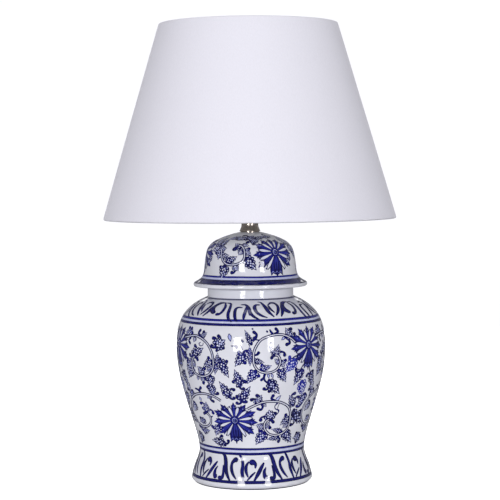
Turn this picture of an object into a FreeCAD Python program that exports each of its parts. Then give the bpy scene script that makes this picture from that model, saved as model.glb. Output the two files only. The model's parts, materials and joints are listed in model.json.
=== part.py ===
"""A ginger-jar table lamp with a tapered fabric shade, as separate physical pieces.

Millimetres, +Z up. The origin is the centre of the felt pad's underside, where the lamp stands.
The front faces -Y; the flex inlet and the shade's seam are at the back, +Y.
"""

import FreeCAD, Part
import math
import os

V = FreeCAD.Vector
UP = V(0, 0, 1)

# ---------------------------------------------------------------- driving dimensions
# Jar
FOOT_CONTACT_R = 75.2  # where the rounded foot meets the felt pad
FOOT_R = 78.6  # widest part of the foot
WAIST_R = 68.1
BELLY_R = 96.7
NECK_R = 55.5
MOUTH_Z = 251.8
SHOULDER_TOP_Z = 240.2
JAR_WALL = 6.0
PAD_T = 1.5
FLOOR_Z = 22.0  # underside of the jar's floor, the top of the recess
FLOOR_T = 7.0
RECESS_R = 66.0

# Lid
GASKET_T = 1.0
LID_SEAT_Z = MOUTH_Z + GASKET_T
LID_TOP_Z = 323.0
BRIM_R = 73.6
LID_WALL = 5.0
SPIGOT_R = 48.8
SPIGOT_DEPTH = 9.0
LID_FLAT_R = 13.8

# Central rod, M10 x 1
ROD_R = 5.0
ROD_BORE_R = 3.4
ROD_HOLE_R = 6.0
ROD_FIT = 0.1  # radial clearance of a piece that slips over the rod

# Nickel neck above the lid
NECK_WASHER_T = 1.0
NECK_FOOT_R = 13.4
NECK_TUBE_R = 10.9
NECK_H = 29.0
CHECK_RING_T = 1.2

# Lamp holder, Edison screw 27 with rotary switch
HOLDER_Z = LID_TOP_Z + NECK_WASHER_T + NECK_H + CHECK_RING_T
CAP_BOSS_R = 8.0
CAP_BOSS_H = 7.0
CAP_R = 21.0
CAP_H = 31.0
CAP_WALL = 1.1
SKIRT_R = 19.6
SKIRT_WALL = 1.0
SKIRT_BOTTOM_Z = HOLDER_Z + 26.5
SKIRT_TOP_Z = HOLDER_Z + 68.0
CORE_R = 18.3
CORE_Z = HOLDER_Z + 28.0  # underside of the ceramic core
CORE_FLOOR_T = 13.0
SCREW_SHELL_R = 13.9
SCREW_SHELL_T = 0.5
SWITCH_Z = HOLDER_Z + 20.5

# Shade rings on the skirt's thread, and the shade's fitter plate between them
RING_BORE_R = 20.0
RING_COLLAR_R = 22.4
RING_FIT = 0.05  # between a ring's swaged collar and its flange
RING_FLANGE_R = 26.5
RING_FLANGE_T = 2.4
RING_H = 9.0
RING_RIBS = 24
FITTER_Z = HOLDER_Z + 41.0
FITTER_T = 1.5
FITTER_HOLE_R = 21.0
FITTER_R = 30.0
SEAT_GAP = 0.1  # between the fitter plate and each ring

# Shade
SHADE_BOTTOM_Z = 340.0
SHADE_TOP_Z = 591.5
SHADE_BOTTOM_R = 189.0
SHADE_TOP_R = 115.8
FABRIC_T = 0.5
LINER_T = 0.8
WIRE_R = 1.4
HEM_FLAP = 14.0
HEM_TUCK = math.radians(25)
SHADE_GAP = 0.05  # glue line between liner, fabric and wires
ARM_R = 1.5
ARMS = 3

# Bulb, A60 with LED filaments
BULB_TIP_Z = CORE_Z + CORE_FLOOR_T + 4.0
BULB_CAP_R = 13.1
BULB_CAP_T = 0.4
BULB_R = 30.0
BULB_H = 105.0
GLASS_T = 0.9
FILAMENTS = 4


# ---------------------------------------------------------------- helpers
class Outline:
    """A closed outline in the r-z half plane, drawn piece by piece from a start point."""

    def __init__(self, r, z):
        self.start = self.here = V(r, 0, z)
        self.edges = []

    def line(self, r, z):
        end = V(r, 0, z)
        self.edges.append(Part.LineSegment(self.here, end).toShape())
        self.here = end
        return self

    def lines(self, *points):
        for r, z in points:
            self.line(r, z)
        return self

    def arc(self, through, end):
        """A circular arc through one point to the end point."""
        middle, stop = V(through[0], 0, through[1]), V(end[0], 0, end[1])
        self.edges.append(Part.Arc(self.here, middle, stop).toShape())
        self.here = stop
        return self

    def spline(self, points, leaving=None, arriving=None):
        """A smooth curve through the points, optionally with its end directions."""
        curve = Part.BSplineCurve()
        stops = [self.here] + [V(r, 0, z) for r, z in points]
        if leaving is None:
            curve.interpolate(stops)
        else:
            directions = [V(leaving[0], 0, leaving[1]), V(arriving[0], 0, arriving[1])]
            curve.interpolate(
                Points=stops, InitialTangent=directions[0], FinalTangent=directions[1]
            )
        self.edges.append(curve.toShape())
        self.here = stops[-1]
        return self

    def revolve(self):
        if self.here.distanceToPoint(self.start) > 1e-6:
            self.line(self.start.x, self.start.z)
        face = Part.Face(Part.Wire(self.edges))
        return face.revolve(V(0, 0, 0), UP, 360)


def offset_outward(points, distance):
    """Each point of a profile moved along the profile's normal; a negative distance moves it inward."""
    moved = []
    for i, (r, z) in enumerate(points):
        r0, z0 = points[max(i - 1, 0)]
        r1, z1 = points[min(i + 1, len(points) - 1)]
        length = math.hypot(r1 - r0, z1 - z0)
        moved.append((r + (z1 - z0) / length * distance, z - (r1 - r0) / length * distance))
    return moved


def tube(outer, inner, z, height):
    """A plain ring round the Z axis."""
    ring = Part.makeCylinder(outer, height, V(0, 0, z))
    if inner:
        ring = ring.cut(Part.makeCylinder(inner, height, V(0, 0, z)))
    return ring


def hexagon(across_flats, height, z):
    corner_r = across_flats / math.sqrt(3)
    corners = [
        V(corner_r * math.cos(math.radians(60 * k)), corner_r * math.sin(math.radians(60 * k)), z)
        for k in range(7)
    ]
    return Part.Face(Part.makePolygon(corners)).extrude(V(0, 0, height))


def around(shape, count, first=0.0):
    """Copies of a shape spaced evenly round the Z axis."""
    copies = []
    for k in range(count):
        copy = shape.copy()
        copy.rotate(V(0, 0, 0), UP, first + 360.0 * k / count)
        copies.append(copy)
    return copies


def rod(start, end, radius):
    """A straight round bar between two points."""
    return Part.makeCylinder(radius, start.distanceToPoint(end), start, end - start)


def save(name, *shapes):
    solids = [solid for shape in shapes for solid in shape.Solids]
    whole = solids[0] if len(solids) == 1 else Part.makeCompound(solids)
    if not whole.isValid():
        raise ValueError(name + " is not a valid shape")
    whole.exportStep("parts/" + name + ".step")
    print(name, len(solids), "solid(s)", round(sum(s.Volume for s in solids)), "mm3")


# ---------------------------------------------------------------- jar and lid
JAR_FOOT = (FOOT_R, PAD_T + 4.2)
JAR_PROFILE = [  # outside of the jar, from the foot's widest point up to the neck
    JAR_FOOT,
    (74.8, 20.0),
    (69.6, 34.0),
    (WAIST_R, 44.2),
    (71.2, 62.5),
    (78.2, 86.8),
    (86.5, 114.0),
    (93.2, 140.3),
    (BELLY_R, 169.6),
    (95.0, 195.8),
    (88.6, 214.4),
    (78.0, 227.0),
    (66.0, 235.3),
    (NECK_R, SHOULDER_TOP_Z),
]
LID_PROFILE = [  # outside of the lid, from the flat top down to the brim's tip
    (LID_FLAT_R, LID_TOP_Z),
    (24.0, 320.4),
    (36.0, 316.2),
    (46.0, 311.5),
    (52.3, 306.0),
    (55.5, 300.4),
    (57.7, 290.8),
    (59.1, 280.0),
    (60.2, 271.8),
    (62.8, 265.4),
    (67.6, 261.4),
    (BRIM_R - 1.2, 258.7),
]
INLET_Z = 13.0
INLET_HOLE_R = 6.0
INLET_BORE_R = 3.6
GROMMET_LIP_R = 8.6


def inlet_bar(radius, start_y, end_y):
    """A bar on the flex inlet's axis, which runs out through the back of the foot."""
    return rod(V(0, start_y, INLET_Z), V(0, end_y, INLET_Z), radius)


def jar_body():
    floor_top = FLOOR_Z + FLOOR_T
    inside = offset_outward(JAR_PROFILE[3:-1], -JAR_WALL)
    neck_inner_r = NECK_R - JAR_WALL
    outline = Outline(RECESS_R + 2, PAD_T).line(FOOT_CONTACT_R, PAD_T)
    outline.arc((FOOT_R - 1.2, PAD_T + 1.5), JAR_FOOT)
    outline.spline(JAR_PROFILE[1:], leaving=(-0.5, 6), arriving=(-10, 4))
    outline.line(NECK_R, MOUTH_Z - 2)
    outline.arc((NECK_R - 0.6, MOUTH_Z - 0.6), (NECK_R - 2, MOUTH_Z))
    outline.line(neck_inner_r + 1, MOUTH_Z).line(neck_inner_r, MOUTH_Z - 1)
    outline.line(neck_inner_r, SHOULDER_TOP_Z - 3)
    outline.spline(list(reversed(inside)))
    outline.line(inside[0][0], floor_top + 4)
    outline.arc((inside[0][0] - 1.2, floor_top + 1.2), (inside[0][0] - 4, floor_top))
    outline.lines((ROD_HOLE_R, floor_top), (ROD_HOLE_R, FLOOR_Z), (RECESS_R - 3, FLOOR_Z))
    outline.arc((RECESS_R - 0.9, FLOOR_Z - 0.9), (RECESS_R, FLOOR_Z - 3))
    outline.line(RECESS_R, PAD_T + 2)
    outline.line(RECESS_R + 2, PAD_T)
    return outline.revolve().cut(inlet_bar(INLET_HOLE_R, RECESS_R - 8, FOOT_R + 6))


def jar_lid():
    inner_top_z = LID_TOP_Z - LID_WALL - 1
    brim_under_r = BRIM_R - 2.0
    outline = Outline(*LID_PROFILE[0])
    outline.spline(LID_PROFILE[1:])
    outline.arc((BRIM_R, LID_SEAT_Z + 3.3), (brim_under_r, LID_SEAT_Z + 0.6))
    outline.line(NECK_R + 1.5, LID_SEAT_Z).line(SPIGOT_R, LID_SEAT_Z)
    outline.line(SPIGOT_R, LID_SEAT_Z - SPIGOT_DEPTH + 1)
    outline.line(SPIGOT_R - 1, LID_SEAT_Z - SPIGOT_DEPTH)
    outline.line(SPIGOT_R - LID_WALL, LID_SEAT_Z - SPIGOT_DEPTH)
    outline.line(SPIGOT_R - LID_WALL, LID_SEAT_Z + 2)
    outline.spline([(54.0, 273.0), (52.7, 290.4), (48.0, 302.8), (34.0, 311.4), (14.0, inner_top_z)])
    outline.lines((ROD_HOLE_R, inner_top_z), (ROD_HOLE_R, LID_TOP_Z))
    return outline.revolve()


def cord_grommet():
    """Rubber bush in the foot's inlet hole, with a lip outside and one inside the recess."""
    wall_outer = 76.6  # outside of the foot at the inlet's height
    lip_t = 2.0
    plug = inlet_bar(INLET_HOLE_R - 0.05, RECESS_R - lip_t, wall_outer + lip_t)
    outer_lip = inlet_bar(GROMMET_LIP_R, wall_outer - 1.0, wall_outer + lip_t)
    inner_lip = inlet_bar(GROMMET_LIP_R - 1, RECESS_R - lip_t, RECESS_R + 0.2)
    bush = plug.fuse([outer_lip, inner_lip]).removeSplitter()
    bush = bush.cut(jar_body())
    return bush.cut(inlet_bar(INLET_BORE_R, RECESS_R - 5, FOOT_R + 6))


# ---------------------------------------------------------------- rod and its fasteners
WASHER_STACK = [  # under the jar's floor, from the top down: name, outer radius, thickness
    ("rod_rubber_washer", 26.0, 2.0),
    ("rod_plate_washer", 30.0, 1.5),
    ("rod_lock_washer", 9.0, 1.0),
]
NUT_H = 5.0
NUT_FLATS = 17.0
ROD_BOTTOM_Z = 9.0


def lock_washer(z, height, outer):
    """A washer with teeth round its edge."""
    washer = tube(outer, ROD_R + ROD_FIT, z, height)
    notch = Part.makeBox(1.6, 1.2, height, V(outer - 1.5, -0.6, z))
    return washer.cut(around(notch, 12))


def rod_fasteners():
    z = FLOOR_Z
    for name, outer, height in WASHER_STACK:
        z -= height
        if name == "rod_lock_washer":
            save(name, lock_washer(z, height, outer))
        else:
            save(name, tube(outer, ROD_R + ROD_FIT, z, height))
    z -= NUT_H
    nut = hexagon(NUT_FLATS, NUT_H, z).common(
        Part.makeCone(NUT_FLATS / 2 + 0.4, NUT_FLATS / 2 + 7, 8, V(0, 0, z))
    )
    save("rod_nut", nut.cut(Part.makeCylinder(ROD_R + ROD_FIT, NUT_H, V(0, 0, z))))
    save("lamp_rod", tube(ROD_R, ROD_BORE_R, ROD_BOTTOM_Z, HOLDER_Z + CAP_BOSS_H - ROD_BOTTOM_Z))


def lamp_neck():
    """Bell-shaped nickel spacer: a bead at the foot, a concave flare, then a plain tube."""
    z0 = LID_TOP_Z + NECK_WASHER_T
    z1 = z0 + NECK_H
    outline = Outline(NECK_FOOT_R - 0.4, z0)
    outline.arc((NECK_FOOT_R, z0 + 0.8), (NECK_FOOT_R - 0.4, z0 + 1.6))
    outline.spline(
        [(11.9, z0 + 4.2), (NECK_TUBE_R, z0 + 8.4)], leaving=(-0.6, 1.4), arriving=(0, 1)
    )
    outline.line(NECK_TUBE_R, z1 - 3)
    outline.arc((NECK_TUBE_R + 0.8, z1 - 1.5), (NECK_TUBE_R, z1))
    outline.line(ROD_R + ROD_FIT, z1).line(ROD_R + ROD_FIT, z1 - 3)
    outline.lines((NECK_TUBE_R - 1.6, z1 - 4.5), (NECK_TUBE_R - 1.6, z0 + 8))
    outline.line(NECK_FOOT_R - 1.8, z0)
    return outline.revolve()


# ---------------------------------------------------------------- lamp holder
def holder_cap():
    """Domed cap whose threaded boss screws onto the rod, with the switch shaft's hole in its side."""
    z0, top = HOLDER_Z, HOLDER_Z + CAP_H
    boss_top = z0 + CAP_BOSS_H
    outline = Outline(ROD_R + 0.02, z0).line(CAP_BOSS_R, z0).line(CAP_BOSS_R, boss_top - 2)
    outline.spline(
        [(12.4, z0 + 7.4), (18.6, z0 + 12.0), (CAP_R, z0 + 19.0)], leaving=(0.2, 1), arriving=(0, 1)
    )
    outline.line(CAP_R, top - 2)
    outline.arc((CAP_R + 0.5, top - 1), (CAP_R, top)).line(CAP_R - CAP_WALL, top)
    outline.line(CAP_R - CAP_WALL, z0 + 19.4)
    outline.spline([(17.4, z0 + 13.0), (12.0, z0 + 8.8), (CAP_BOSS_R - 0.6, boss_top + 0.6)])
    outline.line(ROD_R + 0.02, boss_top + 0.6)
    shaft_hole = rod(V(CAP_R - 6, 0, SWITCH_Z), V(CAP_R + 4, 0, SWITCH_Z), 2.2)
    screw_hole = rod(V(0, CAP_BOSS_R + 2, z0 + 2.6), V(0, ROD_R - 1, z0 + 2.6), 1.5)
    return outline.revolve().cut([shaft_hole, screw_hole])


def holder_lock_screw():
    """Slotted grub screw that locks the cap's boss to the rod."""
    z = HOLDER_Z + 2.6
    screw = rod(V(0, CAP_BOSS_R + 1.6, z), V(0, ROD_R + 0.05, z), 1.45)
    return screw.cut(Part.makeBox(4, 0.9, 0.6, V(-2, CAP_BOSS_R + 0.8, z - 0.3)))


def holder_core():
    """Ceramic core: a floor that carries the contacts, and a sleeve round the screw shell."""
    top = SKIRT_TOP_Z - 1.5
    floor_top = CORE_Z + CORE_FLOOR_T
    sleeve_bore = Part.makeCylinder(SCREW_SHELL_R + 0.2, top - floor_top, V(0, 0, floor_top))
    wire_way = Part.makeCylinder(1.6, CORE_FLOOR_T + 2, V(-8, 0, CORE_Z - 1))
    underside_pocket = Part.makeBox(12, 9, 4, V(-6, -4.5, CORE_Z))
    return tube(CORE_R, None, CORE_Z, top - CORE_Z).cut([sleeve_bore, underside_pocket, wire_way])


def centre_contact():
    """Brass tongue riveted to the core's floor, bent up to meet the bulb's tip."""
    floor_top = CORE_Z + CORE_FLOOR_T
    width, thick = 6.0, 0.6
    tip = BULB_TIP_Z - 0.3 - thick
    path = [
        (10.5, floor_top + 0.1),
        (3.5, floor_top + 0.1),
        (-3.0, tip),
        (-6.0, tip - 1.2),
    ]
    upper = [V(x, -width / 2, z + thick) for x, z in reversed(path)]
    lower = [V(x, -width / 2, z) for x, z in path]
    face = Part.Face(Part.makePolygon(lower + upper + lower[:1]))
    return face.extrude(V(0, width, 0))


def contact_rivet():
    floor_top = CORE_Z + CORE_FLOOR_T
    return Part.makeCylinder(1.8, 1.0, V(7.5, 0, floor_top + 0.72))


def terminals():
    """Two brass blocks under the core's floor, each with a cross hole for the wire."""
    blocks, screws = [], []
    size = 6.0
    for side in (-1, 1):
        y = side * 10.5
        block = Part.makeBox(8, size, 7, V(-4, y - size / 2, CORE_Z - 7))
        block = block.cut(rod(V(-5, y, CORE_Z - 3), V(5, y, CORE_Z - 3), 1.3))
        head_z = CORE_Z - 7 - 1.7
        head = Part.makeCylinder(2.0, 1.6, V(0, y, head_z))
        slot = Part.makeBox(4.4, 0.7, 0.8, V(-2.2, y - 0.35, head_z))
        blocks.append(block)
        screws.append(head.cut(slot))
    save("holder_terminals", *blocks)
    save("terminal_screws", *screws)


def rotary_switch():
    """Insulating cam on a steel shaft that leaves through the cap's side, with a ribbed knob outside."""
    cam = rod(V(-6, 0, SWITCH_Z), V(6, 0, SWITCH_Z), 5.0)
    lobes = Part.makeBox(8, 3, 12, V(-4, -1.5, SWITCH_Z - 6))
    shaft_r = 1.6
    shaft = rod(V(-8, 0, SWITCH_Z), V(CAP_R + 13, 0, SWITCH_Z), shaft_r)
    cam = cam.fuse(lobes).removeSplitter().cut(rod(V(-7, 0, SWITCH_Z), V(7, 0, SWITCH_Z), shaft_r))
    knob_start, knob_end = CAP_R + 2.0, CAP_R + 15.0
    knob = rod(V(knob_start, 0, SWITCH_Z), V(knob_end, 0, SWITCH_Z), 5.2)
    round_edge = [e for e in knob.Edges if e.Curve.TypeId == "Part::GeomCircle"]
    knob = knob.makeFillet(0.8, round_edge)
    grooves = []
    for k in range(12):
        angle = math.radians(30 * k)
        groove_at = V(knob_start + 3, 5.5 * math.cos(angle), SWITCH_Z + 5.5 * math.sin(angle))
        grooves.append(rod(groove_at, groove_at + V(12, 0, 0), 0.7))
    knob = knob.cut(grooves).cut(rod(V(0, 0, SWITCH_Z), V(CAP_R + 13, 0, SWITCH_Z), shaft_r))
    save("switch_cam", cam)
    save("switch_shaft", shaft)
    save("switch_knob", knob)


def switch_contacts():
    """Two phosphor-bronze leaves that the cam opens and closes."""
    leaves = []
    for side in (-1, 1):
        lower = [(side * 8.6, CORE_Z - 12.6), (side * 7.5, CORE_Z - 7.0), (side * 7.5, CORE_Z)]
        points = [V(-3, y, z) for y, z in lower] + [V(-3, y - side * 0.5, z) for y, z in reversed(lower)]
        leaves.append(Part.Face(Part.makePolygon(points + points[:1])).extrude(V(6, 0, 0)))
    return leaves


def shade_ring(name, face_z, direction):
    """Threaded collar swaged into a ribbed flange; the flange's face is at face_z, by the fitter plate."""
    collar_z = min(face_z, face_z + direction * RING_H)
    flange_z = min(face_z, face_z + direction * RING_FLANGE_T)
    flange = tube(RING_FLANGE_R, RING_COLLAR_R + RING_FIT, flange_z, RING_FLANGE_T)
    notch = Part.makeCylinder(0.8, RING_FLANGE_T, V(RING_FLANGE_R + 0.2, 0, flange_z))
    save(name + "_collar", tube(RING_COLLAR_R, RING_BORE_R, collar_z, RING_H))
    save(name + "_flange", flange.cut(around(notch, RING_RIBS)))


# ---------------------------------------------------------------- bulb
def bulb_outline(inset):
    """The globe's profile from its neck to its crown, inset by the glass thickness for the inside."""
    crown_z = BULB_TIP_Z + BULB_H - inset
    belly_z = BULB_TIP_Z + BULB_H - BULB_R
    neck = 12.2 - inset
    points = [
        (neck + 0.1, BULB_TIP_Z + 24),
        (14.4 - inset, BULB_TIP_Z + 31),
        (19.6 - inset, BULB_TIP_Z + 43),
        (26.8 - inset, BULB_TIP_Z + 59),
    ]
    belly = (BULB_R - inset, belly_z)
    half = (BULB_R - inset) * math.sqrt(0.5)
    return neck, points, belly, (half, belly_z + half), (0, crown_z)


def bulb_globe():
    foot_z = BULB_TIP_Z + 16
    neck, points, belly, shoulder, crown = bulb_outline(0)
    outline = Outline(neck, foot_z).line(*points[0])
    outline.spline(points[1:] + [belly], leaving=(0.1, 1), arriving=(0, 1)).arc(shoulder, crown)
    neck_in, points_in, belly_in, shoulder_in, crown_in = bulb_outline(GLASS_T)
    outline.line(*crown_in).arc(shoulder_in, belly_in)
    outline.spline(list(reversed(points_in)), leaving=(0, -1), arriving=(-0.1, -1))
    outline.line(neck_in, foot_z)
    return outline.revolve()


def bulb_pieces():
    tip = BULB_TIP_Z
    save("bulb_globe", bulb_globe())
    cap = Outline(9.0, tip + 4.6).line(BULB_CAP_R - 1.4, tip + 4.6).line(BULB_CAP_R, tip + 7)
    cap.lines((BULB_CAP_R, tip + 26), (BULB_CAP_R - BULB_CAP_T, tip + 26))
    cap.lines((BULB_CAP_R - BULB_CAP_T, tip + 7.2), (BULB_CAP_R - 1.6, tip + 5.1), (9.0, tip + 5.1))
    save("bulb_screw_cap", cap.revolve())
    insulator = Outline(0, tip + 1.4).line(4.6, tip + 1.4).line(10.6, tip + 4.5)
    save("bulb_insulator", insulator.line(0, tip + 4.5).revolve())
    pip = Outline(0, tip).arc((3.4, tip + 0.5), (4.5, tip + 1.35)).line(0, tip + 1.35)
    save("bulb_centre_contact", pip.revolve())

    stem_top = tip + 46
    stem = Outline(0, tip + 18).lines((10.9, tip + 18), (10.4, tip + 19.4))
    stem.spline([(5.0, tip + 24), (3.0, tip + 32), (3.2, stem_top)], leaving=(-1, 0.3), arriving=(0, 1))
    save("bulb_stem", stem.line(0, stem_top).revolve())
    low_r, high_r = 6.0, 9.0
    low_z, high_z = tip + 48, tip + 80
    filament = rod(V(low_r, 0, low_z), V(high_r, 0, high_z), 1.0)
    save("bulb_filaments", *around(filament, FILAMENTS, 45))
    wire = rod(V(3.6, 0, stem_top - 3), V(low_r, 0, low_z - 0.9), 0.3)
    top_ring = tube(high_r + 0.3, high_r - 0.3, high_z + 1.1, 0.6)
    save("bulb_support_wires", *around(wire, FILAMENTS, 45), top_ring)


# ---------------------------------------------------------------- shade
class ShadeSlope:
    """The shade's slope: points are given by distance up it and distance out from the wires' centres."""

    def __init__(self):
        rim = WIRE_R + FABRIC_T
        self.low = V(SHADE_BOTTOM_R - rim, 0, SHADE_BOTTOM_Z + rim)
        self.high = V(SHADE_TOP_R - rim, 0, SHADE_TOP_Z - rim)
        self.along = (self.high - self.low).normalize()
        self.out = V(self.along.z, 0, -self.along.x)

    def at(self, end, up, out):
        """A point as (r, z): `up` is measured towards the shade's middle from that end's wire."""
        sign = 1 if end is self.low else -1
        p = end + self.along * (sign * up) + self.out * out
        return p.x, p.z


def shade_fabric(slope, arms):
    """Cover cloth that wraps round both wires and is turned in behind them."""
    wire, outer = WIRE_R, WIRE_R + FABRIC_T
    cos_tuck, sin_tuck = math.cos(HEM_TUCK), math.sin(HEM_TUCK)
    liner_face = WIRE_R - LINER_T - SHADE_GAP
    flap_face = liner_face - FABRIC_T

    def bend(radius, face):
        """How far up the slope the turned-in cloth meets a face, leaving the wire at the tuck angle."""
        return radius * sin_tuck + (face + radius * cos_tuck) * cos_tuck / sin_tuck

    low, high, at = slope.low, slope.high, slope.at
    outline = Outline(*at(low, 0, outer)).line(*at(high, 0, outer))
    for end, opposite in ((high, low), (low, high)):
        outside = [
            at(end, outer * sin_tuck, -outer * cos_tuck),
            at(end, bend(outer, flap_face), flap_face),
            at(end, HEM_FLAP, flap_face),
            at(end, HEM_FLAP, liner_face),
            at(end, bend(wire, liner_face), liner_face),
            at(end, wire * sin_tuck, -wire * cos_tuck),
        ]
        if end is high:
            outline.arc(at(end, -outer, 0), outside[0]).lines(*outside[1:])
            outline.arc(at(end, -wire, 0), at(end, 0, wire)).line(*at(opposite, 0, wire))
        else:
            outline.arc(at(end, -wire, 0), outside[-1]).lines(*reversed(outside[:-1]))
            outline.arc(at(end, -outer, 0), at(end, 0, outer))
    return outline.revolve().cut(arms)


def shade_liner(slope):
    face = WIRE_R - SHADE_GAP
    back = face - LINER_T
    start = WIRE_R + 0.4
    ends = ((slope.low, face), (slope.high, face), (slope.high, back), (slope.low, back))
    corners = [slope.at(end, start, out) for end, out in ends]
    return Outline(*corners[0]).lines(*corners[1:]).revolve()


def wire_ring(centre):
    return Part.makeTorus(centre.x, WIRE_R - SHADE_GAP, V(0, 0, centre.z), UP)


def shade_arm(slope, radius):
    """One arm from the bottom wire up to the fitter plate's edge, along +X."""
    low, hub = slope.low, V(FITTER_R - 1.0, 0, FITTER_Z + FITTER_T / 2)
    return rod(low + (hub - low).normalize() * 0.6, hub, radius)


def shade_pieces():
    slope = ShadeSlope()
    first_arm = 90.0  # one arm points to the back, where the seam is
    bottom_wire = wire_ring(slope.low)
    plate = tube(FITTER_R, FITTER_HOLE_R, FITTER_Z, FITTER_T)
    arms = [arm.cut([bottom_wire, plate]) for arm in around(shade_arm(slope, ARM_R), ARMS, first_arm)]
    arms = [max(arm.Solids, key=lambda s: s.Volume) for arm in arms]
    arm_slots = around(shade_arm(slope, ARM_R + 0.2), ARMS, first_arm)
    save("shade_fabric", shade_fabric(slope, arm_slots))
    save("shade_liner", shade_liner(slope))
    save("shade_bottom_wire", bottom_wire)
    save("shade_top_wire", wire_ring(slope.high))
    save("shade_fitter_plate", plate)
    for k, arm in enumerate(arms):
        save("shade_arm_%d" % (k + 1), arm)


# ---------------------------------------------------------------- everything
def main():
    os.makedirs("parts", exist_ok=True)
    save("felt_pad", tube(FOOT_CONTACT_R - 0.5, None, 0, PAD_T))
    save("jar_body", jar_body())
    save("cord_grommet", cord_grommet())
    save("lid_gasket", tube(NECK_R - 2.2, SPIGOT_R + 1, MOUTH_Z, GASKET_T))
    save("jar_lid", jar_lid())
    rod_fasteners()
    save("neck_washer", tube(NECK_FOOT_R - 1.2, ROD_R + ROD_FIT, LID_TOP_Z, NECK_WASHER_T))
    save("lamp_neck", lamp_neck())
    check_ring_z = HOLDER_Z - CHECK_RING_T
    save("check_ring", tube(12.4, ROD_R + ROD_FIT, check_ring_z, CHECK_RING_T))

    save("holder_cap", holder_cap())
    save("holder_lock_screw", holder_lock_screw())
    skirt_h = SKIRT_TOP_Z - SKIRT_BOTTOM_Z
    save("holder_skirt", tube(SKIRT_R, SKIRT_R - SKIRT_WALL, SKIRT_BOTTOM_Z, skirt_h))
    save("holder_core", holder_core())
    shell_z = CORE_Z + CORE_FLOOR_T + 1.2
    save("holder_screw_shell", tube(SCREW_SHELL_R, SCREW_SHELL_R - SCREW_SHELL_T, shell_z, 22))
    save("holder_centre_contact", centre_contact())
    save("holder_contact_rivet", contact_rivet())
    terminals()
    rotary_switch()
    save("switch_contacts", *switch_contacts())
    shade_ring("lower_ring", FITTER_Z - SEAT_GAP, -1)
    shade_ring("upper_ring", FITTER_Z + FITTER_T + SEAT_GAP, 1)

    bulb_pieces()
    shade_pieces()


main()
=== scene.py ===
"""The table lamp's looks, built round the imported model: glaze and paint, cloth shade, metal and bulb.

Metres, +Z up, front towards -Y. Small sizes are written in millimetres times MM.
"""

import json
import random
from bisect import bisect_right
from math import atan2, cos, hypot, pi, radians, sin

import bpy
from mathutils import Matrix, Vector, noise


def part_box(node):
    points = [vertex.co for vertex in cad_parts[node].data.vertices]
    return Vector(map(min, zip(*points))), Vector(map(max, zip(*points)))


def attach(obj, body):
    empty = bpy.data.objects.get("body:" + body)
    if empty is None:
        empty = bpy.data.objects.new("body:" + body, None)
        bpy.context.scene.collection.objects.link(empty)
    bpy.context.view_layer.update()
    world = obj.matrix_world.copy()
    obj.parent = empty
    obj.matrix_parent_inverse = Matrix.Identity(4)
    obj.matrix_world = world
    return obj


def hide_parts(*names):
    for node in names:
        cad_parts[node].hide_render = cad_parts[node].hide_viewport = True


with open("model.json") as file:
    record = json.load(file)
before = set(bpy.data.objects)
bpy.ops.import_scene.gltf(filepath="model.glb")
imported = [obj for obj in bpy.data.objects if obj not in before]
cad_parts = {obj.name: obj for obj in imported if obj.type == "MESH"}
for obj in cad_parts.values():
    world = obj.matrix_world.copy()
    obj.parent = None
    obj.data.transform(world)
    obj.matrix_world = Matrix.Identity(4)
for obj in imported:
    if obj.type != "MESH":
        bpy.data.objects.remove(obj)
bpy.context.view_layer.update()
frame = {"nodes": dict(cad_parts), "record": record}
nodes = frame["nodes"]

MM = 0.001
TAU = 2 * pi
SHARP_EDGE = radians(50)
THIRDS = (0, 120, 240)  # degrees round the lamp of the painting's three repeats

# ---- driving dimensions
PAD_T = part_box("felt_pad")[1].z
FOOT_R = 78.6 * MM
FOOT_CONTACT_R = 75.2 * MM
NECK_R = 55.5 * MM
MOUTH_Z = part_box("jar_body")[1].z
FOOT_EDGE_R = 4.4 * MM
LIP_OUTER_R = 2 * MM
LIP_INNER_R = 1.5 * MM
JAR_WALL = 6 * MM
HOLLOW = slice(60, -24)  # the part of the outside's curve that the hollow follows
HOLLOW_TOP_Z = 237.2 * MM
FLOOR_Z = 22 * MM
FLOOR_T = 7 * MM
RECESS_R = 66 * MM
RECESS_EDGE = 2 * MM
RECESS_ROOF_EDGE = 3 * MM
ROD_HOLE_R = 6 * MM
POT_SEGMENTS = 320
STRAIGHT_NECK = (241, 243, 246, 248.6)  # heights in millimetres
LID_SEAT_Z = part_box("lid_gasket")[1].z
LID_TOP_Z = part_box("jar_lid")[1].z
BRIM_R = 73.6 * MM
BRIM_EDGE_R = 2.6 * MM
SPIGOT_R = 48.8 * MM
SPIGOT_BOTTOM_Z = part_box("jar_lid")[0].z
LID_WALL = 5 * MM
WOBBLE = 0.16 * MM  # how far the finished pot strays from its true profile

# Outside of the jar from the foot's widest point to the neck, as (radius, height) in millimetres
JAR_CURVE = [
    (78.6, 5.7), (74.8, 20), (69.6, 34), (68.1, 44.2), (71.2, 62.5), (78.2, 86.8), (86.5, 114),
    (93.2, 140.3), (96.7, 169.6), (95, 195.8), (88.6, 214.4), (78, 227), (66, 235.3), (55.5, 240.2),
]
# Outside of the lid from the brim's widest point to the flat top
LID_CURVE = [
    (73.6, 256.1), (73.4, 257.2), (72.4, 258.7), (67.6, 261.4), (62.8, 265.4), (60.2, 271.8), (59.1, 280),
    (57.7, 290.8), (55.5, 300.4), (52.3, 306), (46, 311.5), (36, 316.2), (24, 320.4), (13.8, 323),
]

# Camera: metres, degrees, and millimetres for the lens and its sensor
CAMERA_SIDE = -0.1 * MM
CAMERA_DISTANCE = 2.125
CAMERA_HEIGHT = 0.4032
CAMERA_PITCH = 2.7927
CAMERA_ROLL = 0.5
CAMERA_LENS = 118.1
SENSOR = 36.0
FLOOR_HALF = 2.0
FLOOR_DROP = 0.3 * MM
FLOOR_GREY = 0.8
FLOOR_GLOW = 0.84


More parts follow.
